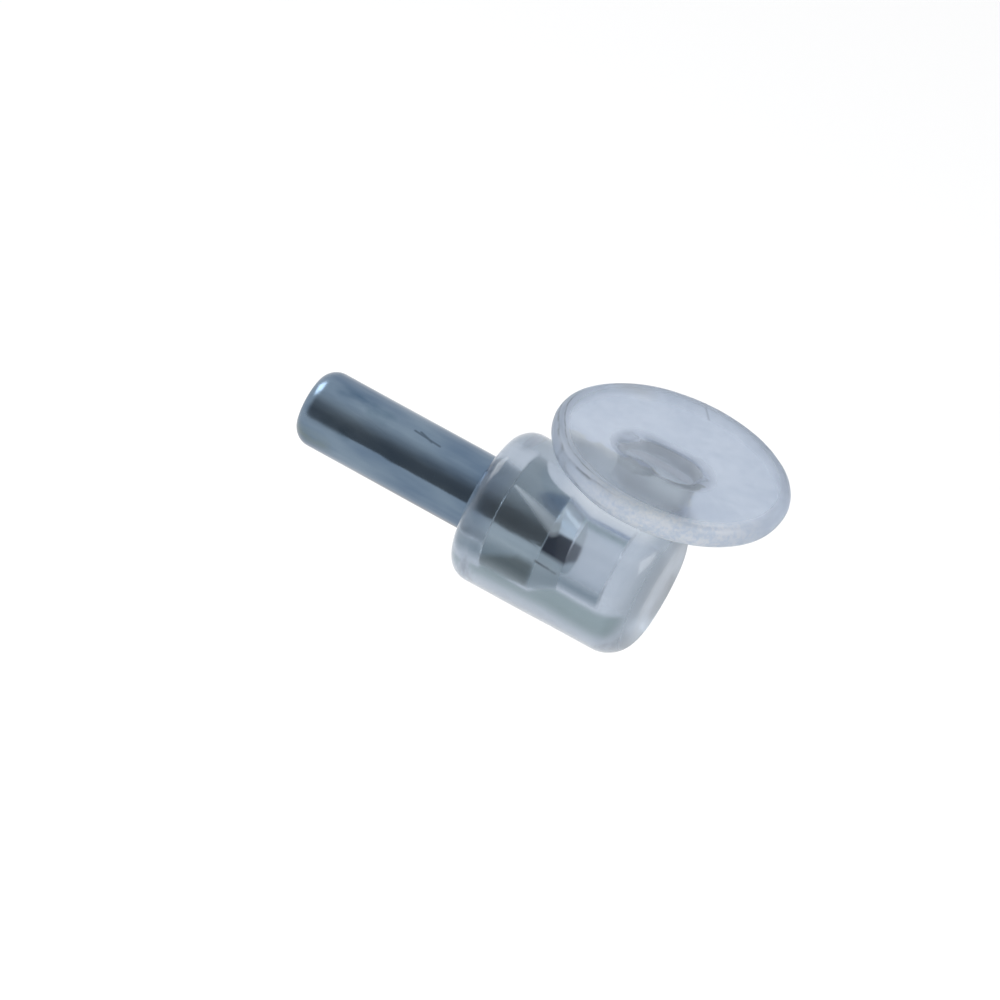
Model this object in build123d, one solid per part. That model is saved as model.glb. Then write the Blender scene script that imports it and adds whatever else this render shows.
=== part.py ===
from build123d import *
import os

# Shelf support pin for a glass shelf, in millimetres.
# The steel pin lies along X and plugs into the cabinet side towards -X.
# The origin is the centre of the holder's wall face, on the pin's axis.
# +Z is up, towards the round pad that carries the shelf.

# Steel pin
pin_diameter = 5.0
pin_reach = 12.4           # from the wall face out to the tip
pin_seat_depth = 6.7       # from the wall face in to the inner end
tip_round_length = 1.05    # rounded edge of the tip, along the axis
tip_round_depth = 0.65     # rounded edge of the tip, across the axis
end_chamfer_length = 1.5   # long chamfer of the inner end, along the axis
end_chamfer_depth = 0.65   # long chamfer of the inner end, across the axis
seat_taper = 0.03          # slight narrowing of the seated end, so that the holder pushes on

# Body of the clear holder, a cylinder with moulding draft
body_diameter = 10.1       # at the wall face
body_end_diameter = 9.9    # at the free end
body_length = 12.35
wall_edge_radius = 1.45
free_edge_radius = 2.0

# Blind bore of the body
mouth_depth = 1.85         # relieved entry, where the bore stands clear of the pin
mouth_clearance = 0.12     # gap round the pin in that entry
cone_clearance = 0.15      # gap between the pin's chamfer and the bore's cone, along the axis
bore_diameter = 3.75       # narrow bore beyond the pin
bore_end_wall = 2.65       # solid plastic between the bore's bottom and the free end

# Neck that lifts the pad off the body
neck_length = 5.0
neck_width = 2.4
neck_height = 2.2          # clear height between body and pad
neck_setback = 0.45        # from the body's free end back to the neck
neck_fillet = 0.4

# Round pad under the glass
pad_diameter = 15.0
pad_thickness = 1.85
pad_overhang = 5.05        # reach of the pad past the body's free end
pad_top_chamfer = 0.3
pad_rim_land = 0.35        # straight part of the rim, between its two broken edges

# Radii and places that follow from the sizes above
pin_radius = pin_diameter / 2
body_radius = body_diameter / 2
body_end_radius = body_end_diameter / 2
bore_radius = bore_diameter / 2
pad_radius = pad_diameter / 2
pad_under_radius = pad_thickness - pad_top_chamfer - pad_rim_land
chamfer_start = pin_seat_depth - end_chamfer_length
bore_depth = body_length - bore_end_wall
neck_centre = body_length - neck_setback - neck_length / 2
pad_centre = body_length + pad_overhang - pad_radius
pad_under_height = body_radius + neck_height
pad_top_height = pad_under_height + pad_thickness


def corner_at(sketch, x, y):
    return sketch.vertices().sort_by_distance((x, y))[0]


def seat_radius(x):
    # Radius of the pin's seated end, which the bore follows
    return pin_radius - seat_taper * x / chamfer_start


def steel_pin():
    tip_x = -pin_reach
    tip_corner = (tip_x, pin_radius - tip_round_depth)
    shank_start = (tip_x + tip_round_length, pin_radius)
    with BuildPart() as pin:
        with BuildSketch(Plane.XZ):
            with BuildLine():
                Line((tip_x, 0), tip_corner)
                TangentArc(shank_start, tip_corner, tangent=(-1, 0))
                Polyline(
                    shank_start,
                    (0, seat_radius(0)),
                    (chamfer_start, seat_radius(chamfer_start)),
                    (pin_seat_depth, pin_radius - end_chamfer_depth),
                    (pin_seat_depth, 0),
                    (tip_x, 0),
                )
            make_face()
        revolve(axis=Axis.X)
    return pin.part


def holder_body():
    wall_rim = (0, body_radius)
    free_rim = (body_length, body_end_radius)
    with BuildPart() as body:
        with BuildSketch(Plane.XZ) as half:
            with BuildLine():
                Polyline((0, 0), wall_rim, free_rim, (body_length, 0), close=True)
            make_face()
            fillet(corner_at(half, *wall_rim), wall_edge_radius)
            fillet(corner_at(half, *free_rim), free_edge_radius)
        revolve(axis=Axis.X)
    return body.part


def holder_bore():
    # Clear of the pin at the mouth, tight on its seated end, then narrowing past its chamfer
    mouth_radius = pin_radius + mouth_clearance
    cone_start = chamfer_start + cone_clearance
    cone_length = (pin_radius - bore_radius) * end_chamfer_length / end_chamfer_depth
    with BuildPart() as bore:
        with BuildSketch(Plane.XZ):
            with BuildLine():
                Polyline(
                    (0, 0),
                    (0, mouth_radius),
                    (mouth_depth, mouth_radius),
                    (mouth_depth, seat_radius(mouth_depth)),
                    (cone_start, seat_radius(cone_start)),
                    (cone_start + cone_length, bore_radius),
                    (bore_depth, bore_radius),
                    (bore_depth, 0),
                    close=True,
                )
            make_face()
        revolve(axis=Axis.X)
    return bore.part


def holder_pad():
    under_rim = (pad_radius, pad_under_height)
    top_rim = (pad_radius, pad_top_height)
    with BuildPart() as pad:
        with BuildSketch(Plane.XZ) as half:
            with BuildLine():
                Polyline((0, pad_under_height), under_rim, top_rim, (0, pad_top_height), close=True)
            make_face()
            fillet(corner_at(half, *under_rim), pad_under_radius)
            chamfer(corner_at(half, *top_rim), pad_top_chamfer)
        revolve(axis=Axis.Z)
    return pad.part.moved(Location((pad_centre, 0, 0)))


def clear_holder():
    # Body, neck and pad are one moulding, with the neck's seams rounded
    with BuildPart() as holder:
        add(holder_body())
        with BuildSketch():
            with Locations((neck_centre, 0)):
                SlotOverall(neck_length, neck_width)
        extrude(amount=pad_under_height + pad_thickness / 2)
        fillet(holder.new_edges, neck_fillet)
        add(holder_pad())
        fillet(holder.new_edges, neck_fillet)
        add(holder_bore(), mode=Mode.SUBTRACT)
    return holder.part


os.makedirs("parts", exist_ok=True)
export_step(steel_pin(), "parts/steel_pin.step")
export_step(clear_holder(), "parts/clear_holder.step")
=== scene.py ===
import bpy
import math
import numpy as np
import bmesh
from mathutils import Matrix, Vector


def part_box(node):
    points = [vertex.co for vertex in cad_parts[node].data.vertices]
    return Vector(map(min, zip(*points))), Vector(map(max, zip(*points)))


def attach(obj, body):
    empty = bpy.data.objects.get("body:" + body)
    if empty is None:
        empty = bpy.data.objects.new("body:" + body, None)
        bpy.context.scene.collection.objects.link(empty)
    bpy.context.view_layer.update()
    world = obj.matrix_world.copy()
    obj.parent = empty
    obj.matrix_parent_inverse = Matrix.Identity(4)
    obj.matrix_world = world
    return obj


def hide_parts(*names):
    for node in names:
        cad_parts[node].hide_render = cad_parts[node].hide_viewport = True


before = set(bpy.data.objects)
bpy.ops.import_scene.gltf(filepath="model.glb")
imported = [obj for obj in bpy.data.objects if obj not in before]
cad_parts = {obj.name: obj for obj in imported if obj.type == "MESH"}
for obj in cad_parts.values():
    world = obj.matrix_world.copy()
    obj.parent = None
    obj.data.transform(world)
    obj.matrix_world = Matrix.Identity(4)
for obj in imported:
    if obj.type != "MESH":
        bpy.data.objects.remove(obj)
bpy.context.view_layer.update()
scene = bpy.context.scene
mm = 0.001                                     # pieces are worked out in millimetres and built in metres
weldReach = 1e-5                               # points of a mesh this close, in mm, are one point
thinEdge = 1e-6                                # edges shorter than this, in mm, are dropped
pinLow, pinHigh = [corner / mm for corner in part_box("steel_pin")]
holderLow, holderHigh = [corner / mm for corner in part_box("clear_holder")]
print("frame loaded:", ", ".join(sorted(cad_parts)))


# Sums in node trees

def addLink(tree, fromNode, fromSocket, toNode, toSocket):
    tree.links.new(fromNode.outputs[fromSocket], toNode.inputs[toSocket])


def mathNode(tree, operation, first, second=None):
    node = tree.nodes.new("ShaderNodeMath")
    node.operation = operation
    for socket, value in zip(node.inputs, (first, second)):
        if isinstance(value, (int, float)):
            socket.default_value = value
        elif value is not None:
            tree.links.new(value, socket)
    return node.outputs[0]


def chained(tree, operation, values):
    result = values[0]
    for value in values[1:]:
        result = mathNode(tree, operation, result, value)
    return result


def times(tree, *values):
    return chained(tree, "MULTIPLY", values)


def plus(tree, *values):
    return chained(tree, "ADD", values)


def minus(tree, first, second):
    return mathNode(tree, "SUBTRACT", first, second)


# Geometry Nodes tree that turns a half section about X, shared by the pin and by the holder's blanks

def makeTurningTree():
    tree = bpy.data.node_groups.new("turnedSection", "GeometryNodeTree")
    sockets = (("Section", "Geometry"), ("Points", "Int"), ("Segments", "Int"), ("Finish", "Material"))
    for name, kind in sockets:
        tree.interface.new_socket(name, in_out="INPUT", socket_type="NodeSocket" + kind)
    tree.interface.new_socket("Turned", in_out="OUTPUT", socket_type="NodeSocketGeometry")
    nodes = tree.nodes
    entry, leave = nodes.new("NodeGroupInput"), nodes.new("NodeGroupOutput")
    grid = nodes.new("GeometryNodeMeshGrid")
    rows = plus(tree, entry.outputs["Segments"], 1.0)
    addLink(tree, entry, "Points", grid, "Vertices X")
    tree.links.new(rows, grid.inputs["Vertices Y"])
    index = nodes.new("GeometryNodeInputIndex").outputs[0]
    ring = mathNode(tree, "FLOOR", mathNode(tree, "DIVIDE", plus(tree, index, 0.5), rows))
    step = minus(tree, index, times(tree, ring, rows))
    turn = mathNode(tree, "DIVIDE", times(tree, step, math.tau), entry.outputs["Segments"])
    sample = nodes.new("GeometryNodeSampleIndex")
    sample.data_type = "FLOAT_VECTOR"
    addLink(tree, entry, "Section", sample, "Geometry")
    addLink(tree, nodes.new("GeometryNodeInputPosition"), "Position", sample, "Value")
    tree.links.new(ring, sample.inputs["Index"])
    split, join = nodes.new("ShaderNodeSeparateXYZ"), nodes.new("ShaderNodeCombineXYZ")
    addLink(tree, sample, "Value", split, "Vector")
    addLink(tree, split, "X", join, "X")
    for axis, wave in (("Y", "SINE"), ("Z", "COSINE")):
        tree.links.new(times(tree, split.outputs["Z"], mathNode(tree, wave, turn)), join.inputs[axis])
    place = nodes.new("GeometryNodeSetPosition")
    addLink(tree, grid, "Mesh", place, "Geometry")
    addLink(tree, join, "Vector", place, "Position")
    weld = nodes.new("GeometryNodeMergeByDistance")
    weld.inputs["Distance"].default_value = weldReach
    realize = nodes.new("GeometryNodeRealizeInstances")
    finish = nodes.new("GeometryNodeSetMaterial")
    for before, after in ((place, weld), (weld, realize), (realize, finish)):
        addLink(tree, before, "Geometry", after, "Geometry")
    addLink(tree, entry, "Finish", finish, "Material")
    addLink(tree, finish, "Geometry", leave, "Turned")
    return tree


def newObject(name, mesh):
    obj = bpy.data.objects.new(name, mesh)
    scene.collection.objects.link(obj)
    return obj


def applyModifiers(obj):
    graph = bpy.context.evaluated_depsgraph_get()
    made = bpy.data.meshes.new_from_object(obj.evaluated_get(graph))
    obj.modifiers.clear()
    obj.data = made
    return made


def readAll(items, name, width=1, kind=float):
    values = np.empty(len(items) * width, kind)
    items.foreach_get(name, values)
    return values.reshape(-1, width) if width > 1 else values


def meshPoints(mesh):
    return readAll(mesh.vertices, "co", 3)


def setPoints(mesh, points):
    mesh.vertices.foreach_set("co", points.astype(np.float32).ravel())
    mesh.update()


def toMetres(obj):
    obj.data.transform(Matrix.Diagonal((mm, mm, mm, 1)))
    obj.data.update()


def faceOutwards(mesh):
    shell = bmesh.new()
    shell.from_mesh(mesh)
    bmesh.ops.remove_doubles(shell, verts=shell.verts, dist=weldReach)
    bmesh.ops.dissolve_degenerate(shell, edges=shell.edges, dist=thinEdge)
    bmesh.ops.recalc_face_normals(shell, faces=shell.faces)
    shell.to_mesh(mesh)
    shell.free()


def turned(name, section, segments, material=None):
    mesh = bpy.data.meshes.new(name + "Section")
    points = [(x, 0, max(r, 0)) for x, r in section]
    mesh.from_pydata(points, [(i, i + 1) for i in range(len(points) - 1)], [])
    obj = newObject(name, mesh)
    turning = obj.modifiers.new("turning", "NODES")
    turning.node_group = turningTree
    values = {"Points": len(points), "Segments": segments, "Finish": material}
    for item in turningTree.interface.items_tree:
        if item.in_out == "INPUT" and item.name in values:
            turning[item.identifier] = values[item.name]
    faceOutwards(applyModifiers(obj))
    return obj


def arcPoints(centre, radii, start, end, count):
    angles = np.radians(np.linspace(start, end, count))
    return [(centre[0] + radii[0] * math.cos(a), centre[1] + radii[1] * math.sin(a)) for a in angles]


def heldLine(start, end, hold):
    # a straight run with a point close to each end, so that smooth shading stays flat along it
    a, b = np.array(start, float), np.array(end, float)
    along = (b - a) / np.linalg.norm(b - a) * hold
    return [tuple(a), tuple(a + along), tuple(b - along), tuple(b)]


turningTree = makeTurningTree()
print("turning tree ready")


# Sizes of the clear holder, in millimetres, which its finish follows too

holderForm = {
    "bodyRadius": 5.05, "bodyEndRadius": 4.95, "bodyLength": 12.35,
    "wallEdge": 1.45, "freeEdge": 2.0,
    "padRadius": holderHigh.y, "padTop": holderHigh.z, "padThickness": 1.85,
    "padTopEdge": 0.5, "padUnderEdge": 1.2,
    "neckLength": 5.0, "neckWidth": 2.4, "neckSetback": 0.45, "neckBlend": 0.4,
    "neckLump": 0.3, "neckLumpSize": 2.0,      # the neck is lumpy, as trimmed by hand
    "lumpStretch": (1, 1, 0.4), "lumpShares": (0.4, 1.4), "lumpRise": (5.6, 6.8),  # and more so higher up
    "skinWave": 0.012, "skinWaveSize": 3.6,    # uneven moulded skin, always inside the true form
    "rimWave": 0.006, "rimWaveSize": 1.6,
    "rimWaveInset": (1.2, 0.4), "rimWaveDrop": 0.3,  # where the rim's own waves start
    "neckSeed": 3, "skinSeed": 5, "rimSeed": 9,
    "cellSize": 0.14,
    "blankSteps": 9, "blankSegments": 96,      # the rough blank that is meshed in cells
    "padSegments": 128, "padBevel": (0.6, 0.9), "neckSteps": 13, "neckRoot": 1.0,
}
holderForm["padCentre"] = holderHigh.x - holderForm["padRadius"]
holderForm["padUnder"] = holderForm["padTop"] - holderForm["padThickness"]
holderForm["padMiddle"] = holderForm["padTop"] - holderForm["padThickness"] / 2
holderForm["neckEnd"] = holderForm["bodyLength"] - holderForm["neckSetback"]
holderForm["neckCentre"] = holderForm["neckEnd"] - holderForm["neckLength"] / 2


# Node groups shared by the finishes

noiseForm = {
    "middle": 0.5,                             # a noise swings round this value
    "cloudDetail": 3.0, "lineDetail": 2.0,
    "patchScale": 260.0, "patchCut": 0.52,     # hair scratches come in patches
}


def newGroup(name, inputs, output):
    tree = bpy.data.node_groups.new(name, "ShaderNodeTree")
    for socket, kind, value in inputs:
        made = tree.interface.new_socket(socket, in_out="INPUT", socket_type="NodeSocket" + kind)
        made.default_value = value
    tree.interface.new_socket(output, in_out="OUTPUT", socket_type="NodeSocketFloat")
    return tree, tree.nodes.new("NodeGroupInput"), tree.nodes.new("NodeGroupOutput")


noiseInputs = [("Scale", "Float", 1.0), ("Stretch", "Vector", (1, 1, 1)), ("Turn", "Vector", (0, 0, 0)),
               ("Seed", "Float", 0.0)]


def stretchedNoise(tree, entry, detail):
    # a noise on Object coordinates, less its middle value
    kinds = ("TexCoord", "Mapping", "TexNoise")
    coords, mapping, noise = [tree.nodes.new("ShaderNode" + kind) for kind in kinds]
    noise.noise_dimensions = "4D"
    noise.inputs["Detail"].default_value = detail
    addLink(tree, coords, "Object", mapping, "Vector")
    addLink(tree, entry, "Stretch", mapping, "Scale")
    addLink(tree, entry, "Turn", mapping, "Rotation")
    addLink(tree, mapping, "Vector", noise, "Vector")
    addLink(tree, entry, "Scale", noise, "Scale")
    addLink(tree, entry, "Seed", noise, "W")
    return coords, minus(tree, noise.outputs[0], noiseForm["middle"])


def makeBlotches():
    # soft uneven patches, as a value round zero
    tree, entry, leave = newGroup("softBlotches", noiseInputs, "Value")
    cloud = stretchedNoise(tree, entry, noiseForm["cloudDetail"])[1]
    tree.links.new(cloud, leave.inputs["Value"])
    return tree


def makeScratches():
    # fine hair scratches: thin lines where a stretched noise crosses its middle
    tree, entry, leave = newGroup("hairScratches", noiseInputs + [("Width", "Float", 0.02)], "Mask")
    coords, lines = stretchedNoise(tree, entry, noiseForm["lineDetail"])
    patches = tree.nodes.new("ShaderNodeTexNoise")
    patches.inputs["Scale"].default_value = noiseForm["patchScale"]
    addLink(tree, coords, "Object", patches, "Vector")
    away = mathNode(tree, "ABSOLUTE", lines)
    thin = minus(tree, 1.0, mathNode(tree, "DIVIDE", away, entry.outputs["Width"]))
    inPatch = mathNode(tree, "GREATER_THAN", patches.outputs[0], noiseForm["patchCut"])
    tree.links.new(times(tree, mathNode(tree, "MAXIMUM", thin, 0.0), inPatch), leave.inputs["Mask"])
    return tree


def vectorNode(tree, operation, first, second=None, output="Vector"):
    node = tree.nodes.new("ShaderNodeVectorMath")
    node.operation = operation
    for socket, value in zip(node.inputs, (first, second)):
        if isinstance(value, tuple):
            socket.default_value = value
        elif value is not None:
            tree.links.new(value, socket)
    return node.outputs[output]


def lengthOf(tree, vector):
    return vectorNode(tree, "LENGTH", vector, output="Value")


def makeMark():
    # one scratch or streak from start to end, which may flare from a point to its full width
    inputs = [("Start", "Vector", (0, 0, 0)), ("End", "Vector", (0, 0, 1)),
              ("Width", "Float", 0.001), ("Flare", "Float", 0.0)]
    tree, entry, leave = newGroup("taperedMark", inputs, "Mask")
    here = tree.nodes.new("ShaderNodeTexCoord").outputs["Object"]
    start, end, width, flare = [entry.outputs[socket] for socket, kind, value in inputs]
    run = vectorNode(tree, "SUBTRACT", end, start)
    away = vectorNode(tree, "SUBTRACT", here, start)
    along, whole = [vectorNode(tree, "DOT_PRODUCT", way, run, "Value") for way in (away, run)]
    share = mathNode(tree, "DIVIDE", along, whole)
    share.node.use_clamp = True
    onRun = vectorNode(tree, "SCALE", run)
    tree.links.new(share, onRun.node.inputs["Scale"])
    distance = lengthOf(tree, vectorNode(tree, "SUBTRACT", away, onRun))
    spread = plus(tree, minus(tree, 1.0, flare), times(tree, flare, share))
    depth = minus(tree, 1.0, mathNode(tree, "DIVIDE", distance, times(tree, width, spread)))
    tree.links.new(mathNode(tree, "MAXIMUM", depth, 0.0), leave.inputs["Mask"])
    return tree


softBlotches = makeBlotches()
hairScratches = makeScratches()
taperedMark = makeMark()


# Steps that build the finishes

def newMaterial(name):
    material = bpy.data.materials.new(name)
    material.use_nodes = True
    return material, material.node_tree, material.node_tree.nodes["Principled BSDF"]


def placeGroup(tree, group, **values):
    node = tree.nodes.new("ShaderNodeGroup")
    node.node_tree = group
    for socket, value in values.items():
        node.inputs[socket].default_value = value
    return node.outputs[0]


def blotches(tree, values):
    return placeGroup(tree, softBlotches, **values)


def placeMark(tree, start, end, width, flare=0.0):
    ends = [tuple(c * mm for c in point) for point in (start, end)]
    return placeGroup(tree, taperedMark, Start=ends[0], End=ends[1], Width=width * mm, Flare=flare)


def mixColour(tree, factor, first, second):
    node = tree.nodes.new("ShaderNodeMix")
    node.data_type = "RGBA"
    tree.links.new(factor, node.inputs["Factor"])
    for socket, value in ((node.inputs[6], first), (node.inputs[7], second)):  # its colour sockets
        if isinstance(value, tuple):
            socket.default_value = (*value, 1)
        else:
            tree.links.new(value, socket)
    return node.outputs[2]


def rescale(tree, value, low, high, toLow=0.0, toHigh=1.0):
    node = tree.nodes.new("ShaderNodeMapRange")
    tree.links.new(value, node.inputs["Value"])
    for socket, number in zip(node.inputs[1:5], (low, high, toLow, toHigh)):
        socket.default_value = number
    return node.outputs["Result"]


def fromNoise(tree, value, reach, toLow=0.0, toHigh=1.0):
    return rescale(tree, value, -reach, reach, toLow, toHigh)


def placesOn(tree):
    here = tree.nodes.new("ShaderNodeTexCoord").outputs["Object"]
    split = tree.nodes.new("ShaderNodeSeparateXYZ")
    tree.links.new(here, split.inputs["Vector"])
    return here, dict(zip("xyz", split.outputs))


def ramp(tree, at, place, toLow=0.0, toHigh=1.0):
    # from low to high while one measure of the piece runs from start to end, in mm
    measure, start, end = place
    return rescale(tree, at[measure], start * mm, end * mm, toLow, toHigh)


def within(tree, at, places):
    return times(tree, *[ramp(tree, at, place) for place in places])


def bumpFrom(tree, height, strength, depth):
    node = tree.nodes.new("ShaderNodeBump")
    node.inputs["Strength"].default_value = strength
    node.inputs["Distance"].default_value = depth * mm
    tree.links.new(height, node.inputs["Height"])
    return node.outputs["Normal"]


# Finish of the pin. A place is a measure and the two values, in mm, between which an effect fades in.
# The measures are x, y, z, rise, up the cut end, and belowLine, down from the edge of the seat's painted
# shade

steelLook = {
    "patches": {"Scale": 420.0, "Stretch": (0.35, 1.0, 1.0), "Seed": 2.0},
    "drawing": {"Scale": 2600.0, "Stretch": (0.03, 1.0, 1.0), "Seed": 7.0},  # lines along the drawn rod
    "smudges": {"Scale": 1500.0, "Stretch": (0.45, 1.0, 1.0), "Seed": 13.0},
    "hairlines": {"Scale": 900.0, "Stretch": (0.12, 1.0, 1.0), "Turn": (0.0, 0.12, 0.2), "Width": 0.012,
                  "Seed": 4.0},
    "pale": (0.215, 0.285, 0.36), "deep": (0.095, 0.15, 0.235),  # plated steel with a blue cast
    "toneReach": 0.2, "toneDrawing": 0.22,
    "stainDepth": 0.75, "smudgeReach": 0.12, "smudgeLeast": 0.25,
    "stains": [((-10.4, -0.75, 2.4), (-8.6, -0.6, 2.43), 0.75, (0.06, 0.11, 0.18)),  # ends, width, colour
               ((-8.2, -1.0, 2.3), (-7.2, -1.1, 2.25), 0.7, (0.08, 0.14, 0.20)),
               ((-10.2, -2.4, 0.7), (-9.0, -2.4, 0.75), 0.7, (0.07, 0.12, 0.18)),
               ((-12.0, -2.2, -0.9), (-10.2, -2.3, -0.9), 0.9, (0.17, 0.215, 0.21))],
    # painted shade: the open shank darkens along its underside, more strongly toward the holder
    "underside": (0.045, 0.06, 0.085), "undersideRise": ("z", -1.5, -1.9),
    "undersideRun": ("x", -9.5, -6.0), "undersideDepths": (0.17, 0.85),
    "scores": [((-5.35, -0.9, 2.33), (-3.5, -1.05, 2.27), 0.11),  # ends, width
               ((-4.97, -0.8, 2.37), (-4.07, -1.05, 2.27), 0.13)],
    "scoreColour": (0.07, 0.10, 0.14),
    "seated": ("x", -0.3, 2.0),                # the plastic covers the pin from here on
    "seatPale": (0.52, 0.58, 0.60), "seatDeep": (0.33, 0.38, 0.40),  # greyer in there
    # painted reflection of the pale floor: the seat's lower flank is paler
    "paintedFlankReflection": (0.60, 0.66, 0.67), "flankRise": ("z", 0.9, 0.2),
    # painted shade: the seat's underside is darker below a line that rises along the seat
    "underLineRun": ("x", 1.85, 4.1), "underLineRise": (-1.6, -0.55),
    "seatPaintedShade": (0.28, 0.32, 0.31), "seatUnderWhere": (("belowLine", -0.2, 0.2), ("x", 5.3, 5.0)),
    # the chamfer's edge is drawn as a dark line in the cut end's painted-shade colour
    "chamferLine": ((5.2, -2.45, -0.3), (6.56, -1.8, -0.64), 0.10),
    "cutRise": (0.0, 0.534, 0.846),            # up the cut end, as the photograph shows it
    "cutStart": ("x", 5.2, 5.3), "cutRough": 0.2,
    # painted shade on the lower part of the cut end, painted highlight on its upper part
    "cutPaintedShade": (0.05, 0.06, 0.08), "cutDarkWhere": (("rise", 0.35, 0.15), ("rise", -1.15, -0.9)),
    "cutPaintedHighlight": (0.72, 0.75, 0.73), "cutPaleRise": ("rise", 0.15, 0.35),
    # painted highlight: a light streak on the seat that flares toward the cut end, and is rougher there
    "paintedHighlightStreak": {"start": (2.0, -1.2, 2.2), "end": (5.35, -1.85, 1.55), "width": 0.55, "flare": 0.8},
    "streakColour": (0.98, 1.0, 0.97), "streakFull": 0.7, "streakRough": 0.36,
    "roughLow": 0.09, "roughHigh": 0.18, "glossReach": 0.3, "glossDrawing": 0.6,
    "tipRun": ("x", -8.0, -12.0), "tipRough": 0.12,
    "bump": 0.35, "bumpDepth": 0.006,
    "drawingHeight": 0.25, "scoreHeight": 3.0, "waver": 30.0,  # heights in the bump, times its depth
}


def bareSteel(tree, at, tone):
    # the shank in the open, with stains, a painted shade on its underside and a double score
    look = steelLook
    colour = mixColour(tree, tone, look["deep"], look["pale"])
    broken = fromNoise(tree, blotches(tree, look["smudges"]), look["smudgeReach"], look["smudgeLeast"])
    for start, end, width, stainColour in look["stains"]:
        stain = times(tree, placeMark(tree, start, end, width), look["stainDepth"], broken)
        colour = mixColour(tree, stain, colour, stainColour)
    # painted shade on the open shank's underside
    shade = times(tree, ramp(tree, at, look["undersideRise"]),
                  ramp(tree, at, look["undersideRun"], *look["undersideDepths"]))
    colour = mixColour(tree, shade, colour, look["underside"])
    scored = chained(tree, "MAXIMUM", [placeMark(tree, *score) for score in look["scores"]])
    return mixColour(tree, scored, colour, look["scoreColour"]), scored


def heldSteel(tree, at, tone, cutEnd):
    # the seat inside the plastic: painted shade underneath, a painted reflection on the lower flank, painted
    # highlight and shade on the cut end, and a painted highlight streak
    look = steelLook
    colour = mixColour(tree, tone, look["seatDeep"], look["seatPale"])
    # painted reflection on the seat's lower flank
    colour = mixColour(tree, ramp(tree, at, look["flankRise"]), colour, look["paintedFlankReflection"])
    # painted shade on the seat's underside
    colour = mixColour(tree, within(tree, at, look["seatUnderWhere"]), colour, look["seatPaintedShade"])
    # painted shade: a dark line at the chamfer's edge and the lower part of the cut end
    colour = mixColour(tree, placeMark(tree, *look["chamferLine"]), colour, look["cutPaintedShade"])
    dark = times(tree, cutEnd, within(tree, at, look["cutDarkWhere"]))
    colour = mixColour(tree, dark, colour, look["cutPaintedShade"])
    # painted highlight on the upper part of the cut end
    pale = times(tree, cutEnd, ramp(tree, at, look["cutPaleRise"]))
    colour = mixColour(tree, pale, colour, look["cutPaintedHighlight"])
    # painted highlight streak on the seat
    paintedHighlightStreak = rescale(tree, placeMark(tree, **look["paintedHighlightStreak"]), 0.0, look["streakFull"])
    return mixColour(tree, paintedHighlightStreak, colour, look["streakColour"]), paintedHighlightStreak


def makeSteel():
    look = steelLook
    material, tree, shader = newMaterial("bluishSteel")
    patches, drawing = [blotches(tree, look[name]) for name in ("patches", "drawing")]
    hairlines = placeGroup(tree, hairScratches, **look["hairlines"])
    here, at = placesOn(tree)
    at["rise"] = vectorNode(tree, "DOT_PRODUCT", here, look["cutRise"], "Value")
    underLine = ramp(tree, at, look["underLineRun"], *[z * mm for z in look["underLineRise"]])
    at["belowLine"] = minus(tree, underLine, at["z"])
    cutEnd = ramp(tree, at, look["cutStart"])
    mottle = plus(tree, patches, times(tree, drawing, look["toneDrawing"]))
    tone = fromNoise(tree, mottle, look["toneReach"])
    bare, scored = bareSteel(tree, at, tone)
    held, paintedHighlightStreak = heldSteel(tree, at, tone, cutEnd)
    colour = mixColour(tree, ramp(tree, at, look["seated"]), bare, held)
    gloss = plus(tree, patches, times(tree, drawing, look["glossDrawing"]))
    rough = plus(tree, fromNoise(tree, gloss, look["glossReach"], look["roughLow"], look["roughHigh"]),
                 ramp(tree, at, look["tipRun"], 0.0, look["tipRough"]),
                 times(tree, paintedHighlightStreak, look["streakRough"]), times(tree, cutEnd, look["cutRough"]))
    dents = plus(tree, hairlines, times(tree, scored, look["scoreHeight"]))
    height = minus(tree, times(tree, drawing, look["drawingHeight"]), dents)
    height = plus(tree, height, times(tree, patches, look["waver"]))
    tree.links.new(colour, shader.inputs["Base Color"])
    tree.links.new(rough, shader.inputs["Roughness"])
    tree.links.new(bumpFrom(tree, height, look["bump"], look["bumpDepth"]), shader.inputs["Normal"])
    shader.inputs["Metallic"].default_value = 1.0
    return material


# Finish of the holder, with places as on the pin. Its own measures are padRise, up from the pad's
# underside, rimInset, in from its rim, neckGap, out from the neck, and axisReach, out from the pin's axis.
# The functions below add those of the painted shade lines along the rim, the seam and the grey patch

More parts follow.
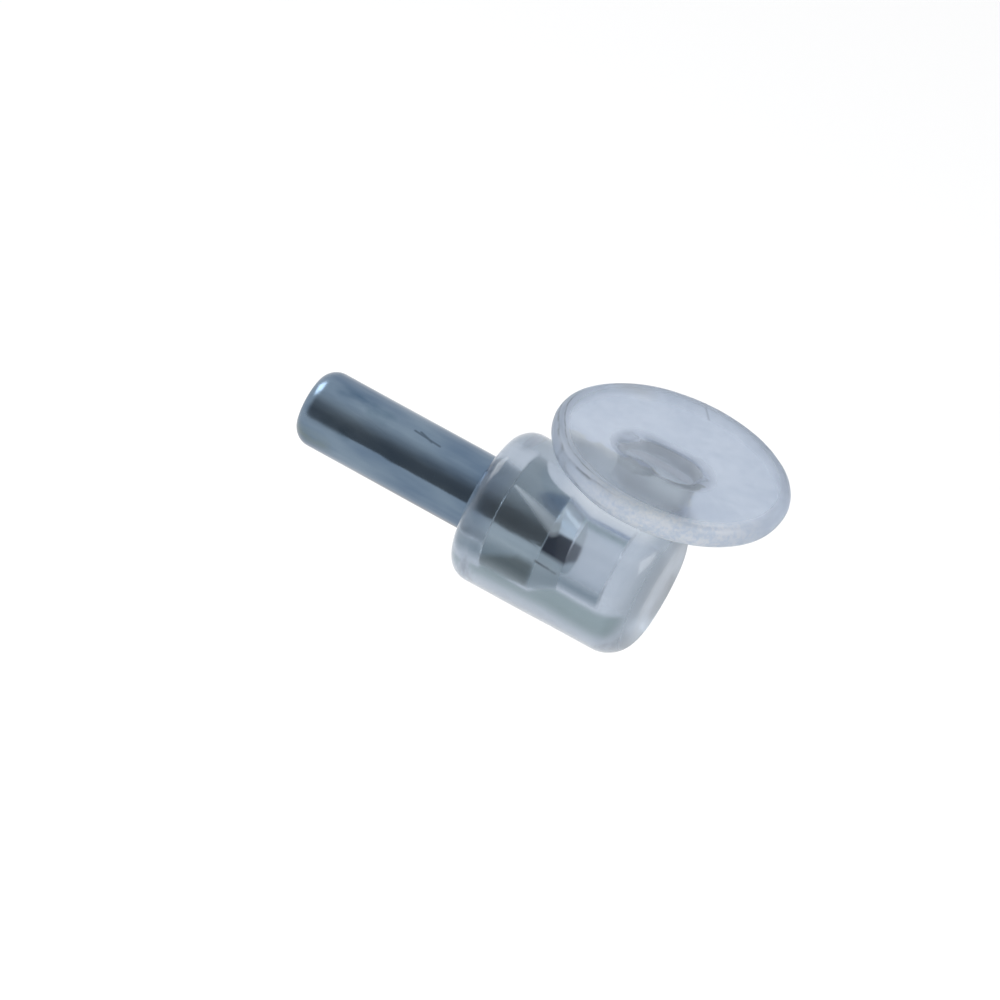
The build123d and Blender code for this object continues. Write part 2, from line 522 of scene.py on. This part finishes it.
plasticLook = {
    "patches": {"Scale": 240.0, "Seed": 11.0}, "borePatches": {"Scale": 240.0, "Seed": 12.0},
    "grain": {"Scale": 1300.0, "Seed": 15.0}, "sparkle": {"Scale": 4200.0, "Seed": 17.0},
    "flow": {"Scale": 900.0, "Stretch": (0.1, 1.0, 1.0), "Seed": 19.0},  # streaks along the body
    "ragged": {"Scale": 900.0, "Stretch": (1.0, 1.0, 0.3), "Seed": 21.0},
    "skin": {"Scale": 900.0, "Seed": 5.0},
    "hairlines": {"Scale": 500.0, "Stretch": (1.0, 0.2, 0.6), "Turn": (0.3, 0.5, 0.6), "Width": 0.006,
                  "Seed": 9.0},
    "patchReach": 0.25,
    "ior": 1.5, "roughLow": 0.11, "roughHigh": 0.20, "boreTint": (0.97, 0.98, 1.0),
    "body": (0.49, 0.56, 0.66), "bodyDeep": (0.38, 0.45, 0.54),
    "crown": (0.93, 0.96, 0.99),               # clearer top of the body, below the pad
    "crownWhere": (("z", 4.0, 4.7), ("x", 4.5, 6.5), ("y", 1.8, 0.6)),
    "freeEnd": (0.29, 0.345, 0.41), "freeEndWhere": (("x", 10.7, 11.7), ("axisReach", 2.2, 3.6)),
    "padStart": ("padRise", -0.85, -0.05),
    "pad": (0.535, 0.61, 0.735), "padDeep": (0.385, 0.46, 0.585), "padGrain": 0.5,  # pale blue, cloudy
    "rim": (1.0, 1.0, 1.0), "rimDeep": (0.66, 0.74, 0.85), "speckleReach": 0.16,  # painted highlight with glints on the pad's near rim
    "rimWhere": (("rimInset", 1.0, 0.5), ("y", -2.0, -5.5), ("x", 6.0, 10.5)),
    "leftRim": (0.33, 0.40, 0.50), "leftRimWhere": (("rimInset", 0.6, 0.4), ("x", 7.0, 4.0)),
    # painted shade: thin dark lines along the pad's rounded rim, on its near left side
    "creases": (0.48, 0.14), "creaseWander": 0.9,  # in from the rim, and not quite round
    "paintedCreaseShade": (0.10, 0.13, 0.16), "interruptReach": 0.1, "interruptLeast": 0.3,  # broken up in places by the grain
    "creaseWhere": (("creaseGap", 0.07, 0.0), ("x", 9.5, 7.0), ("y", 2.0, 0.0)),
    "stain": {"start": (4.6, 4.5, holderForm["padTop"]), "end": (5.6, 4.7, holderForm["padTop"]),
              "width": 1.3},
    "stainColour": (0.42, 0.45, 0.50), "stainDepth": 0.8,
    "scratch": {"start": (9.25, 6.56, holderForm["padTop"]), "end": (9.93, 5.45, holderForm["padTop"]),
                "width": 0.13},
    "scratchColour": (0.20, 0.25, 0.33),
    "neck": (0.88, 0.92, 0.96),                # clear neck
    "neckWhere": (("neckGap", 0.7, 0.3), ("z", 5.1, 5.5), ("padRise", -0.15, -0.35)),
    "seam": (0.18, 0.235, 0.28), "seamDepth": 0.35, "seamCut": (-0.06, 0.05),  # ragged seam under the pad
    "seamRun": ("y", -0.5, 0.8), "seamDrop": (-0.65, -1.55),
    "seamWhere": (("neckGap", 0.8, 0.4), ("overSeam", 0.0, 0.3), ("padRise", 0.45, 0.25)),
    "under": (0.56, 0.60, 0.61), "underWander": 3.0,  # greyer front of the pad's underside, ragged
    "underRun": ("x", 8.8, 10.8), "underEdge": (-1.9, -0.6),
    "underWhere": (("underInset", -0.08, 0.08), ("wanderX", 12.4, 12.2), ("rimInset", 0.6, 1.2),
                   ("padRise", -0.25, -0.15), ("padRise", 0.45, 0.25)),
    "blot": (0.20, 0.24, 0.26), "blotInset": ("underInset", 1.0, 0.7),  # darkest along its far edge
    "blotRun": ("x", 8.0, 9.5), "blotLeast": 0.3,
    "frost": [(0.22, (("x", 11.5, 12.3), ("z", 6.0, 5.2))),  # depth and places, at the free end
              (0.45, (("z", 4.95, 5.3), ("padRise", 0.45, 0.25), ("neckGap", 1.1, 0.5))),  # on the neck
              (0.28, (("rimInset", 1.0, 0.55), ("padRise", -0.35, -0.05)))],  # on the pad's rim
    "bump": 0.4, "bumpDepth": 0.004,
    "hairlineHeight": 0.7, "scratchHeight": 4.0,  # heights in the bump, times its depth
}


def skinPlaces(tree):
    form = holderForm
    here, at = placesOn(tree)
    aside = mathNode(tree, "ABSOLUTE", minus(tree, at["x"], form["neckCentre"] * mm))
    straightRun = (form["neckLength"] - form["neckWidth"]) / 2
    fromNeck = tree.nodes.new("ShaderNodeCombineXYZ")
    pastRun = mathNode(tree, "MAXIMUM", minus(tree, aside, straightRun * mm), 0.0)
    tree.links.new(pastRun, fromNeck.inputs["X"])
    tree.links.new(at["y"], fromNeck.inputs["Y"])
    fromPad = vectorNode(tree, "SUBTRACT", here, (form["padCentre"] * mm, 0.0, 0.0))
    padReach = lengthOf(tree, vectorNode(tree, "MULTIPLY", fromPad, (1.0, 1.0, 0.0)))
    at["padRise"] = minus(tree, at["z"], form["padUnder"] * mm)
    at["rimInset"] = minus(tree, form["padRadius"] * mm, padReach)
    at["neckGap"] = minus(tree, lengthOf(tree, fromNeck.outputs[0]), form["neckWidth"] / 2 * mm)
    at["axisReach"] = lengthOf(tree, vectorNode(tree, "MULTIPLY", here, (0.0, 1.0, 1.0)))
    return at


def bodyColour(tree, at, patches):
    look = plasticLook
    streaks = fromNoise(tree, plus(tree, patches, blotches(tree, look["flow"])), look["patchReach"])
    colour = mixColour(tree, streaks, look["bodyDeep"], look["body"])
    colour = mixColour(tree, within(tree, at, look["crownWhere"]), colour, look["crown"])
    return mixColour(tree, within(tree, at, look["freeEndWhere"]), colour, look["freeEnd"])


def padColour(tree, at, patches, grain):
    look = plasticLook
    tone = fromNoise(tree, plus(tree, patches, times(tree, grain, look["padGrain"])), look["patchReach"])
    colour = mixColour(tree, tone, look["padDeep"], look["pad"])
    # painted highlight with glints along the near rim
    speckle = fromNoise(tree, plus(tree, grain, blotches(tree, look["sparkle"])), look["speckleReach"])
    paintedGlints = mixColour(tree, speckle, look["rimDeep"], look["rim"])
    colour = mixColour(tree, within(tree, at, look["rimWhere"]), colour, paintedGlints)
    colour = mixColour(tree, within(tree, at, look["leftRimWhere"]), colour, look["leftRim"])
    wandering = minus(tree, at["rimInset"], times(tree, patches, look["creaseWander"] * mm))
    interrupted = fromNoise(tree, grain, look["interruptReach"], look["interruptLeast"])
    # painted shade lines along the rounded rim
    for inset in look["creases"]:
        at["creaseGap"] = mathNode(tree, "ABSOLUTE", minus(tree, wandering, inset * mm))
        paintedCreaseShade = times(tree, within(tree, at, look["creaseWhere"]), interrupted)
        colour = mixColour(tree, paintedCreaseShade, colour, look["paintedCreaseShade"])
    stain = times(tree, placeMark(tree, **look["stain"]), look["stainDepth"])
    colour = mixColour(tree, stain, colour, look["stainColour"])
    return mixColour(tree, placeMark(tree, **look["scratch"]), colour, look["scratchColour"])


def neckColour(tree, at, colour):
    # the neck with its seam, and the pad's underside round it
    look = plasticLook
    colour = mixColour(tree, within(tree, at, look["neckWhere"]), colour, look["neck"])
    ragged = blotches(tree, look["ragged"])
    seamLine = ramp(tree, at, look["seamRun"], *[drop * mm for drop in look["seamDrop"]])
    at["overSeam"] = minus(tree, at["padRise"], seamLine)
    torn = rescale(tree, ragged, *look["seamCut"])
    seam = times(tree, within(tree, at, look["seamWhere"]), torn, look["seamDepth"])
    colour = mixColour(tree, seam, colour, look["seam"])
    wander = times(tree, ragged, look["underWander"] * mm)
    farEdge = ramp(tree, at, look["underRun"], *[y * mm for y in look["underEdge"]])
    at["underInset"] = minus(tree, farEdge, plus(tree, at["y"], wander))
    at["wanderX"] = plus(tree, at["x"], wander)
    under = within(tree, at, look["underWhere"])
    colour = mixColour(tree, under, colour, look["under"])
    blot = times(tree, under, ramp(tree, at, look["blotInset"]),
                 ramp(tree, at, look["blotRun"], look["blotLeast"]))
    return mixColour(tree, blot, colour, look["blot"])


def clearMaterial(name, patchValues):
    look = plasticLook
    material, tree, shader = newMaterial(name)
    shader.inputs["Transmission Weight"].default_value = 1.0
    shader.inputs["IOR"].default_value = look["ior"]
    patches = blotches(tree, patchValues)
    rough = fromNoise(tree, patches, look["patchReach"], look["roughLow"], look["roughHigh"])
    return material, tree, shader, patches, rough


def makeClearSkin():
    look = plasticLook
    material, tree, shader, patches, rough = clearMaterial("clearSkin", look["patches"])
    grain = blotches(tree, look["grain"])
    at = skinPlaces(tree)
    body, pad = bodyColour(tree, at, patches), padColour(tree, at, patches, grain)
    colour = neckColour(tree, at, mixColour(tree, ramp(tree, at, look["padStart"]), body, pad))
    frost = [times(tree, within(tree, at, places), depth) for depth, places in look["frost"]]
    hairlines = placeGroup(tree, hairScratches, **look["hairlines"])
    dents = plus(tree, times(tree, hairlines, look["hairlineHeight"]),
                 times(tree, placeMark(tree, **look["scratch"]), look["scratchHeight"]))
    height = minus(tree, blotches(tree, look["skin"]), dents)
    tree.links.new(colour, shader.inputs["Base Color"])
    tree.links.new(plus(tree, rough, *frost), shader.inputs["Roughness"])
    tree.links.new(bumpFrom(tree, height, look["bump"], look["bumpDepth"]), shader.inputs["Normal"])
    return material


def makeClearBore():
    look = plasticLook
    material, tree, shader, _, rough = clearMaterial("clearBore", look["borePatches"])
    shader.inputs["Base Color"].default_value = (*look["boreTint"], 1)
    tree.links.new(rough, shader.inputs["Roughness"])
    return material


steel = makeSteel()
clearSkin = makeClearSkin()
clearBore = makeClearBore()
print("finishes ready")


# Steel pin

pinForm = {
    "radius": pinHigh.z, "tipX": pinLow.x, "endX": pinHigh.x,
    "tipLength": 1.05, "tipDepth": 0.65, "tipSteps": 15,  # rounded edge of the tip
    "chamferLength": 1.5, "chamferDepth": 0.65,
    "seatTaper": 0.03,
    "cutSlant": 0.12,                          # the inner end is cut a little out of square
    "edgeBreak": 0.06,                         # small round where flat meets round
    "hold": 0.05, "sharpAngle": 20.0,
    "segments": 224,
}
pinForm["chamferX"] = pinForm["endX"] - pinForm["chamferLength"]


def pinSection():
    form = pinForm
    radius, tipX, endX, chamferX = [form[name] for name in ("radius", "tipX", "endX", "chamferX")]
    length, depth = form["tipLength"], form["tipDepth"]
    arcRadius = (length ** 2 + depth ** 2) / (2 * depth)
    shankStart = tipX + length
    sweep = math.degrees(math.asin(length / arcRadius))
    arcCentre = (shankStart, radius - arcRadius)
    tipArc = arcPoints(arcCentre, (arcRadius, arcRadius), 90 + sweep, 90, form["tipSteps"])
    seatEnd = radius - form["seatTaper"]
    chamferEnd = (endX, radius - form["chamferDepth"])
    points = [(tipX, 0)] + heldLine((tipX, 0), tipArc[0], form["edgeBreak"])[1:3] + tipArc[1:]
    points += [(0, radius), (chamferX - form["hold"], seatEnd), (chamferX, seatEnd)]
    points += heldLine((chamferX, seatEnd), chamferEnd, form["hold"])[1:]
    points += heldLine(chamferEnd, (endX, 0), form["hold"])[1:]
    return points


def makePin():
    form = pinForm
    pin = turned("steelPin", pinSection(), form["segments"], steel)
    points = meshPoints(pin.data)
    cutShare = np.clip((points[:, 0] - form["chamferX"]) / form["chamferLength"], 0, 1)
    points[:, 0] -= form["cutSlant"] * cutShare * (points @ np.array(steelLook["cutRise"]))
    setPoints(pin.data, points)
    pin.data.shade_smooth()
    pin.data.set_sharp_from_angle(angle=math.radians(form["sharpAngle"]))
    toMetres(pin)
    return pin


steelPin = makePin()
print("steel pin:", len(steelPin.data.polygons), "faces")


# Clear holder: a distance rule for body, neck and pad, with soft blends, meshed and set on that rule

boreForm = {
    "mouthRadius": 2.62, "mouthDepth": 1.85, "mouthStep": 0.06,
    "seatGrip": 0.012,                         # the soft bore is stretched this far into the pin's skin
    "seatGap": 0.02, "seatLean": 0.06,         # deeper in, it leans on one side of the pin
    "leanTurn": 13.0,                          # degrees from -Y, upwards
    "seatEnd": pinForm["chamferX"],
    "coneEnd": 6.79, "radius": 1.875, "depth": 9.7, "endEdge": 0.14,
    "overrun": 1.0,                            # the cutter starts this far outside the wall face
    "margin": 0.05, "skinDepth": 0.01,         # how faces of the bore are told from the skin
    "segments": 192,
}
lumpForm = {"waves": 7, "pitchShares": (0.6, 1.3), "softness": 2.6}


def roundCorner(across, along, radius):
    # distance to a quarter of space with a rounded corner
    u, v = across + radius, along + radius
    return np.minimum(np.maximum(u, v), 0) + np.hypot(np.maximum(u, 0), np.maximum(v, 0)) - radius


def roundUnion(a, b, radius):
    filled = np.hypot(np.maximum(radius - a, 0), np.maximum(radius - b, 0))
    return np.maximum(radius, np.minimum(a, b)) - filled


def lumps(p, size, seed):
    # smooth uneven waves between about -1 and 1
    pick = np.random.default_rng(seed)
    total = np.zeros(len(p))
    for _ in range(lumpForm["waves"]):
        way = pick.normal(size=3)
        way *= math.tau * pick.uniform(*lumpForm["pitchShares"]) / (size * np.linalg.norm(way))
        total += np.sin(p @ way + pick.uniform(0, math.tau))
    return np.tanh(total / lumpForm["softness"])


def bodyDistance(p):
    form = holderForm
    taper = (form["bodyEndRadius"] - form["bodyRadius"]) / form["bodyLength"]
    over = np.hypot(p[:, 1], p[:, 2]) - (form["bodyRadius"] + taper * p[:, 0])
    return np.maximum(roundCorner(over, -p[:, 0], form["wallEdge"]),
                      roundCorner(over, p[:, 0] - form["bodyLength"], form["freeEdge"]))


def neckDistance(p):
    form = holderForm
    half = form["neckWidth"] / 2
    out = np.maximum(np.abs(p[:, 0] - form["neckCentre"]) - (form["neckLength"] / 2 - half), 0)
    swell = form["neckLump"] * np.interp(p[:, 2], form["lumpRise"], form["lumpShares"])
    lumpy = swell * lumps(p * form["lumpStretch"], form["neckLumpSize"], form["neckSeed"])
    side = np.hypot(out, p[:, 1]) - half + lumpy
    return np.maximum(side, np.maximum(-p[:, 2], p[:, 2] - form["padMiddle"]))


def pastRim(p):
    return np.hypot(p[:, 0] - holderForm["padCentre"], p[:, 1]) - holderForm["padRadius"]


def padDistance(p):
    form = holderForm
    over = pastRim(p)
    return np.maximum(roundCorner(over, p[:, 2] - form["padTop"], form["padTopEdge"]),
                      roundCorner(over, form["padUnder"] - p[:, 2], form["padUnderEdge"]))


def holderDistance(p):
    form = holderForm
    lower = roundUnion(bodyDistance(p), neckDistance(p), form["neckBlend"])
    whole = roundUnion(lower, padDistance(p), form["neckBlend"])
    waveStart, waveFull = form["rimWaveInset"]
    onRim = np.interp(pastRim(p), (-waveStart, -waveFull), (0, 1))
    onRim *= np.interp(p[:, 2] - form["padUnder"], (-form["rimWaveDrop"], 0), (0, 1))
    whole += form["skinWave"] * (1 + lumps(p, form["skinWaveSize"], form["skinSeed"]))
    return whole + onRim * form["rimWave"] * (1 + lumps(p, form["rimWaveSize"], form["rimSeed"]))


def slopeOf(rule, p, reach=0.002):
    slope = np.empty_like(p)
    for axis in range(3):
        step = np.zeros(3)
        step[axis] = reach
        slope[:, axis] = (rule(p + step) - rule(p - step)) / (2 * reach)
    return slope


def settle(rule, p, rounds=8, leastSlope=0.05):
    for _ in range(rounds):
        slope = slopeOf(rule, p)
        p = p - slope * (rule(p) / np.maximum((slope ** 2).sum(1), leastSlope))[:, None]
    return p


def bodyBlank():
    form = holderForm
    edge, far, steps = form["wallEdge"], form["freeEdge"], form["blankSteps"]
    length, radius, endRadius = form["bodyLength"], form["bodyRadius"], form["bodyEndRadius"]
    section = [(0, 0)] + arcPoints((edge, radius - edge), (edge, edge), 180, 90, steps)
    section += arcPoints((length - far, endRadius - far), (far, far), 90, 0, steps) + [(length, 0)]
    return turned("bodyBlank", section, form["blankSegments"])


def padBlank():
    form = holderForm
    under, top, radius = form["padUnder"], form["padTop"], form["padRadius"]
    bevelReach, bevelDrop = form["padBevel"]
    bevel = [(under, radius - bevelReach), (top - bevelDrop, radius)]
    section = [(under, 0)] + bevel + [(top, radius), (top, 0)]
    pad = turned("padBlank", section, form["padSegments"])
    lay = Matrix(((0, 0, -1, form["padCentre"]), (0, 1, 0, 0), (1, 0, 0, 0), (0, 0, 0, 1)))
    pad.data.transform(lay)
    return pad


def neckBlank():
    form = holderForm
    half, steps = form["neckWidth"] / 2, form["neckSteps"]
    straight = form["neckLength"] / 2 - half
    outline = arcPoints((form["neckCentre"] + straight, 0), (half, half), -90, 90, steps)
    outline += arcPoints((form["neckCentre"] - straight, 0), (half, half), 90, 270, steps)
    count = len(outline)
    corners = [(x, y, z) for z in (form["neckRoot"], form["padMiddle"]) for x, y in outline]
    sides = [(i, (i + 1) % count, count + (i + 1) % count, count + i) for i in range(count)]
    caps = [tuple(range(count))[::-1], tuple(range(count, 2 * count))]
    mesh = bpy.data.meshes.new("neckBlank")
    mesh.from_pydata(corners, [], sides + caps)
    return newObject("neckBlank", mesh)


def joined(name, parts):
    verts, faces = [], []
    for obj in parts:
        start = len(verts)
        verts += [tuple(v.co) for v in obj.data.vertices]
        faces += [tuple(start + i for i in f.vertices) for f in obj.data.polygons]
        bpy.data.objects.remove(obj)
    mesh = bpy.data.meshes.new(name)
    mesh.from_pydata(verts, [], faces)
    return newObject(name, mesh)


def boreSection():
    form = boreForm
    start, mouth, depth = -form["overrun"], form["mouthDepth"], form["depth"]
    radius, edge = form["radius"], form["endEdge"]
    gripped = pinForm["seatTaper"] * mouth / form["seatEnd"] + form["seatGrip"]
    seatStart = pinForm["radius"] - gripped
    seatEnd = pinForm["radius"] + form["seatGap"] - pinForm["seatTaper"]
    points = [(start, 0), (start, form["mouthRadius"]), (mouth - form["mouthStep"], form["mouthRadius"])]
    points += [(mouth, seatStart), (form["seatEnd"], seatEnd), (form["coneEnd"], radius)]
    points += [(depth - edge, radius), (depth, radius - edge), (depth, 0)]
    return points


def cutBore(holder):
    form = boreForm
    bore = turned("boreCutter", boreSection(), form["segments"])
    points = meshPoints(bore.data)
    share = np.interp(points[:, 0], (form["mouthDepth"], form["seatEnd"], form["coneEnd"]), (0, 1, 0))
    turn = math.radians(form["leanTurn"])
    points -= np.outer(share * form["seatLean"], (0, -math.cos(turn), math.sin(turn)))
    setPoints(bore.data, points)
    cut = holder.modifiers.new("bore", "BOOLEAN")
    cut.operation, cut.solver, cut.object = "DIFFERENCE", "EXACT", bore
    applyModifiers(holder)
    bpy.data.objects.remove(bore)


def facesInBore(centres):
    form = boreForm
    nearAxis = np.hypot(centres[:, 1], centres[:, 2]) < form["mouthRadius"] + form["margin"]
    nearAxis &= centres[:, 0] < form["depth"] + form["margin"]
    return nearAxis & (holderDistance(centres) < -form["skinDepth"])


def spokes(points, least=1e-6):
    # unit ways out from the pin's axis, across it
    return points[:, 1:] / np.maximum(np.hypot(points[:, 1], points[:, 2]), least)[:, None]


def setHolderNormals(mesh, least=1e-9):
    # the skin takes its normals from the distance rule, and the bore from its own turned faces
    points = meshPoints(mesh)
    faceNormals, centres = [readAll(mesh.polygons, name, 3) for name in ("normal", "center")]
    cornerVertex = readAll(mesh.loops, "vertex_index", kind=np.int32)
    cornerCounts = readAll(mesh.polygons, "loop_total", kind=np.int32)
    cornerFace = np.repeat(np.arange(len(cornerCounts)), cornerCounts)
    inBore = facesInBore(centres)
    slope = slopeOf(holderDistance, points)
    slope /= np.linalg.norm(slope, axis=1)[:, None]
    normals = slope[cornerVertex]
    radial = (faceNormals[:, 1:] * spokes(centres)).sum(1)
    across = radial[cornerFace, None] * spokes(points[cornerVertex])
    boreNormals = np.column_stack([faceNormals[cornerFace, 0], across])
    picked = inBore[cornerFace]
    normals[picked] = boreNormals[picked]
    normals /= np.maximum(np.linalg.norm(normals, axis=1), least)[:, None]
    mesh.polygons.foreach_set("material_index", inBore.astype(np.int32))
    mesh.shade_smooth()
    mesh.normals_split_custom_set(normals.astype(np.float32))


def makeHolder():
    holder = joined("clearHolder", [bodyBlank(), padBlank(), neckBlank()])
    remesh = holder.modifiers.new("cells", "REMESH")
    remesh.mode, remesh.voxel_size = "VOXEL", holderForm["cellSize"]
    made = applyModifiers(holder)
    setPoints(made, settle(holderDistance, meshPoints(made)))
    cutBore(holder)
    holder.data.materials.clear()
    for finish in (clearSkin, clearBore):
        holder.data.materials.append(finish)
    setHolderNormals(holder.data)
    toMetres(holder)
    return holder


clearHolder = makeHolder()
print("clear holder:", len(clearHolder.data.polygons), "faces")


# Camera at the photograph's angle, for a square picture

cameraView = {
    "azimuth": 13.9, "elevation": 31.5, "roll": 21.4,
    "distance": 250.0, "clip": (1.0, 5000.0),
    "aim": (5.0, 0.0, 2.0),                    # point of the part, in mm, that lands on aimPixel
    "aimPixel": (565.8, 509.4),
    "picture": 1000, "pixelsPerMm": 16.51,
    "sensor": 36.0,
}


def makeCamera():
    view = cameraView
    az, el, roll = [math.radians(view[name]) for name in ("azimuth", "elevation", "roll")]
    back = Vector((math.cos(el) * math.sin(az), -math.cos(el) * math.cos(az), math.sin(el)))
    level = Vector((math.cos(az), math.sin(az), 0))
    rise = back.cross(level)
    right = math.cos(roll) * level + math.sin(roll) * rise
    up = math.cos(roll) * rise - math.sin(roll) * level
    middle, pixelsPerMm = view["picture"] / 2, view["pixelsPerMm"]
    aimX, aimY = view["aimPixel"]
    shiftX, shiftY = (middle - aimX) / pixelsPerMm, (aimY - middle) / pixelsPerMm
    centre = Vector(view["aim"]) + shiftX * right + shiftY * up
    data = bpy.data.cameras.new("photoCamera")
    data.sensor_width = view["sensor"]
    data.lens = view["sensor"] * pixelsPerMm * view["distance"] / view["picture"]
    data.clip_start, data.clip_end = [reach * mm for reach in view["clip"]]
    stand = Matrix((right, up, back)).transposed().to_4x4()
    stand.translation = (centre + back * view["distance"]) * mm
    camera = newObject("photoCamera", data)
    camera.matrix_world = stand
    scene.camera = camera


makeCamera()
print("camera ready")


# Floor, lamps and studio world

studio = {
    "floorDrop": 60.0, "floorRadius": 430.0, "floorSides": 96,
    "floorColour": (0.95, 0.953, 0.957), "floorRough": 0.9,
    "shadeReach": 75.0, "shadeColour": (0.30, 0.38, 0.42),  # dimmer floor close under the part
    "shadeStraight": 0.5,                      # less of it where no mirroring is on the way
    "darkHeading": -11.8,                      # degrees from -Y: dim side of the room that the pin mirrors
    "darkLevel": 0.21, "darkTop": (20.0, 85.0), "darkFoot": (-95.0, -85.0),  # degrees up, where it fades
    "darkSides": (0.55, 0.95), "darkSlit": (0.32, 0.6),  # its reach aside, plain and inside the plastic
    "backTint": (0.50, 0.58, 0.55),            # far wall, behind the object, seen through the plastic
    "backFacing": (-0.8, -0.5), "backTop": (0.12, 0.45), "backFoot": (-0.16, -0.08),
    "bounces": {"max_bounces": 64, "glossy_bounces": 48, "transmission_bounces": 32},
}
lamps = {
    "tipLamp": {"way": (-0.83, 0.12, 0.54), "distance": 150.0, "size": (72.0, 72.0), "glow": 3.8},
    "endLamp": {"way": (0.84, -0.118, 0.53), "distance": 150.0, "size": (95.0, 52.0), "glow": 3.4},
}
halfBounce = 0.5                               # depths of a light path are whole numbers


def makeFloor():
    turns = [math.tau * i / studio["floorSides"] for i in range(studio["floorSides"])]
    radius, height = studio["floorRadius"] * mm, (holderLow.z - studio["floorDrop"]) * mm
    ring = [(radius * math.cos(turn), radius * math.sin(turn), height) for turn in turns]
    mesh = bpy.data.meshes.new("floor")
    mesh.from_pydata(ring, [], [tuple(range(len(ring)))])
    mesh.materials.append(makeFloorFinish())
    newObject("floor", mesh)


def makeFloorFinish():
    material, tree, shader = newMaterial("paleFloor")
    shader.inputs["Base Color"].default_value = (*studio["floorColour"], 1)
    shader.inputs["Roughness"].default_value = studio["floorRough"]
    kinds = ("Emission", "MixShader", "LightPath")
    glow, mix, path = [tree.nodes.new("ShaderNode" + kind) for kind in kinds]
    seen = mathNode(tree, "MAXIMUM", path.outputs["Is Glossy Ray"], path.outputs["Is Transmission Ray"])
    here = tree.nodes.new("ShaderNodeTexCoord").outputs["Object"]
    reach = lengthOf(tree, vectorNode(tree, "MULTIPLY", here, (1.0, 1.0, 0.0)))
    mirrored = path.outputs["Glossy Depth"]
    direct = times(tree, mathNode(tree, "LESS_THAN", mirrored, 1.0 + halfBounce),
                   rescale(tree, mirrored, 0.0, 1.0, studio["shadeStraight"], 1.0))
    inside = mathNode(tree, "GREATER_THAN", path.outputs["Transmission Depth"], halfBounce)
    shade = times(tree, rescale(tree, reach, 0.0, studio["shadeReach"] * mm, 1.0, 0.0), direct, inside)
    tree.links.new(mixColour(tree, shade, (1.0, 1.0, 1.0), studio["shadeColour"]), glow.inputs["Color"])
    tree.links.new(seen, mix.inputs["Fac"])
    addLink(tree, shader, "BSDF", mix, 1)
    addLink(tree, glow, "Emission", mix, 2)
    addLink(tree, mix, "Shader", tree.nodes["Material Output"], "Surface")
    return material


def smoothStep(tree, value, span, toLow, toHigh):
    result = rescale(tree, value, *span, toLow, toHigh)
    result.node.interpolation_type = "SMOOTHSTEP"
    return result


def makeWorld():
    world = bpy.data.worlds.new("studio")
    scene.world = world
    world.use_nodes = True
    tree = world.node_tree
    sky, path = tree.nodes["Background"], tree.nodes.new("ShaderNodeLightPath")
    way = tree.nodes.new("ShaderNodeTexCoord").outputs["Generated"]
    turn = math.radians(studio["darkHeading"])
    axes = ((math.sin(turn), -math.cos(turn), 0.0), (math.cos(turn), math.sin(turn), 0.0), (0.0, 0.0, 1.0))
    facing, side, height = [vectorNode(tree, "DOT_PRODUCT", way, axis, "Value") for axis in axes]
    mirrored = path.outputs["Glossy Depth"]
    once = mathNode(tree, "COMPARE", mirrored, 1.0)
    once.node.inputs[2].default_value = halfBounce
    straight = mathNode(tree, "LESS_THAN", mirrored, halfBounce)
    inside = mathNode(tree, "GREATER_THAN", path.outputs["Transmission Depth"], halfBounce)
    # the dim side of the room, seen once mirrored
    angle = mathNode(tree, "ARCTAN2", height, facing)
    top, foot = [[math.radians(a) for a in studio[name]] for name in ("darkTop", "darkFoot")]
    room = times(tree, smoothStep(tree, angle, top, 1.0, 0.0), smoothStep(tree, angle, foot, 0.0, 1.0))
    aside = mathNode(tree, "ABSOLUTE", side)
    wide, slit = [smoothStep(tree, aside, studio[name], 1.0, 0.0) for name in ("darkSides", "darkSlit")]
    flank = plus(tree, times(tree, wide, minus(tree, 1.0, inside)), times(tree, slit, inside))
    dark = times(tree, room, flank, once, 1.0 - studio["darkLevel"])
    tree.links.new(minus(tree, 1.0, dark), sky.inputs["Strength"])
    # the far wall, seen straight through the plastic
    wall = times(tree, smoothStep(tree, facing, studio["backFacing"], 1.0, 0.0),
                 smoothStep(tree, height, studio["backTop"], 1.0, 0.0),
                 smoothStep(tree, height, studio["backFoot"], 0.0, 1.0), inside, straight)
    tree.links.new(mixColour(tree, wall, (1.0, 1.0, 1.0), studio["backTint"]), sky.inputs["Color"])


def makeLamps():
    for name, lamp in lamps.items():
        data = bpy.data.lights.new(name, "AREA")
        data.shape = "RECTANGLE"
        data.size, data.size_y = [side * mm for side in lamp["size"]]
        data.energy = lamp["glow"] * math.pi * data.size * data.size_y
        obj = newObject(name, data)
        way = Vector(lamp["way"]).normalized()
        obj.location = way * lamp["distance"] * mm
        obj.rotation_euler = way.to_track_quat("Z", "Y").to_euler()
        obj.visible_camera = False


makeFloor()
makeWorld()
makeLamps()
scene.view_settings.view_transform = "Standard"
for setting, count in studio["bounces"].items():
    setattr(scene.cycles, setting, count)
print("studio ready")

dressed = ((steelPin, "steel_pin", "bluish_steel"), (clearHolder, "clear_holder", "clear_plastic"))
for piece, node, slot in dressed:
    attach(piece, "root")
    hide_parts(node)

print("pieces set on the frame")
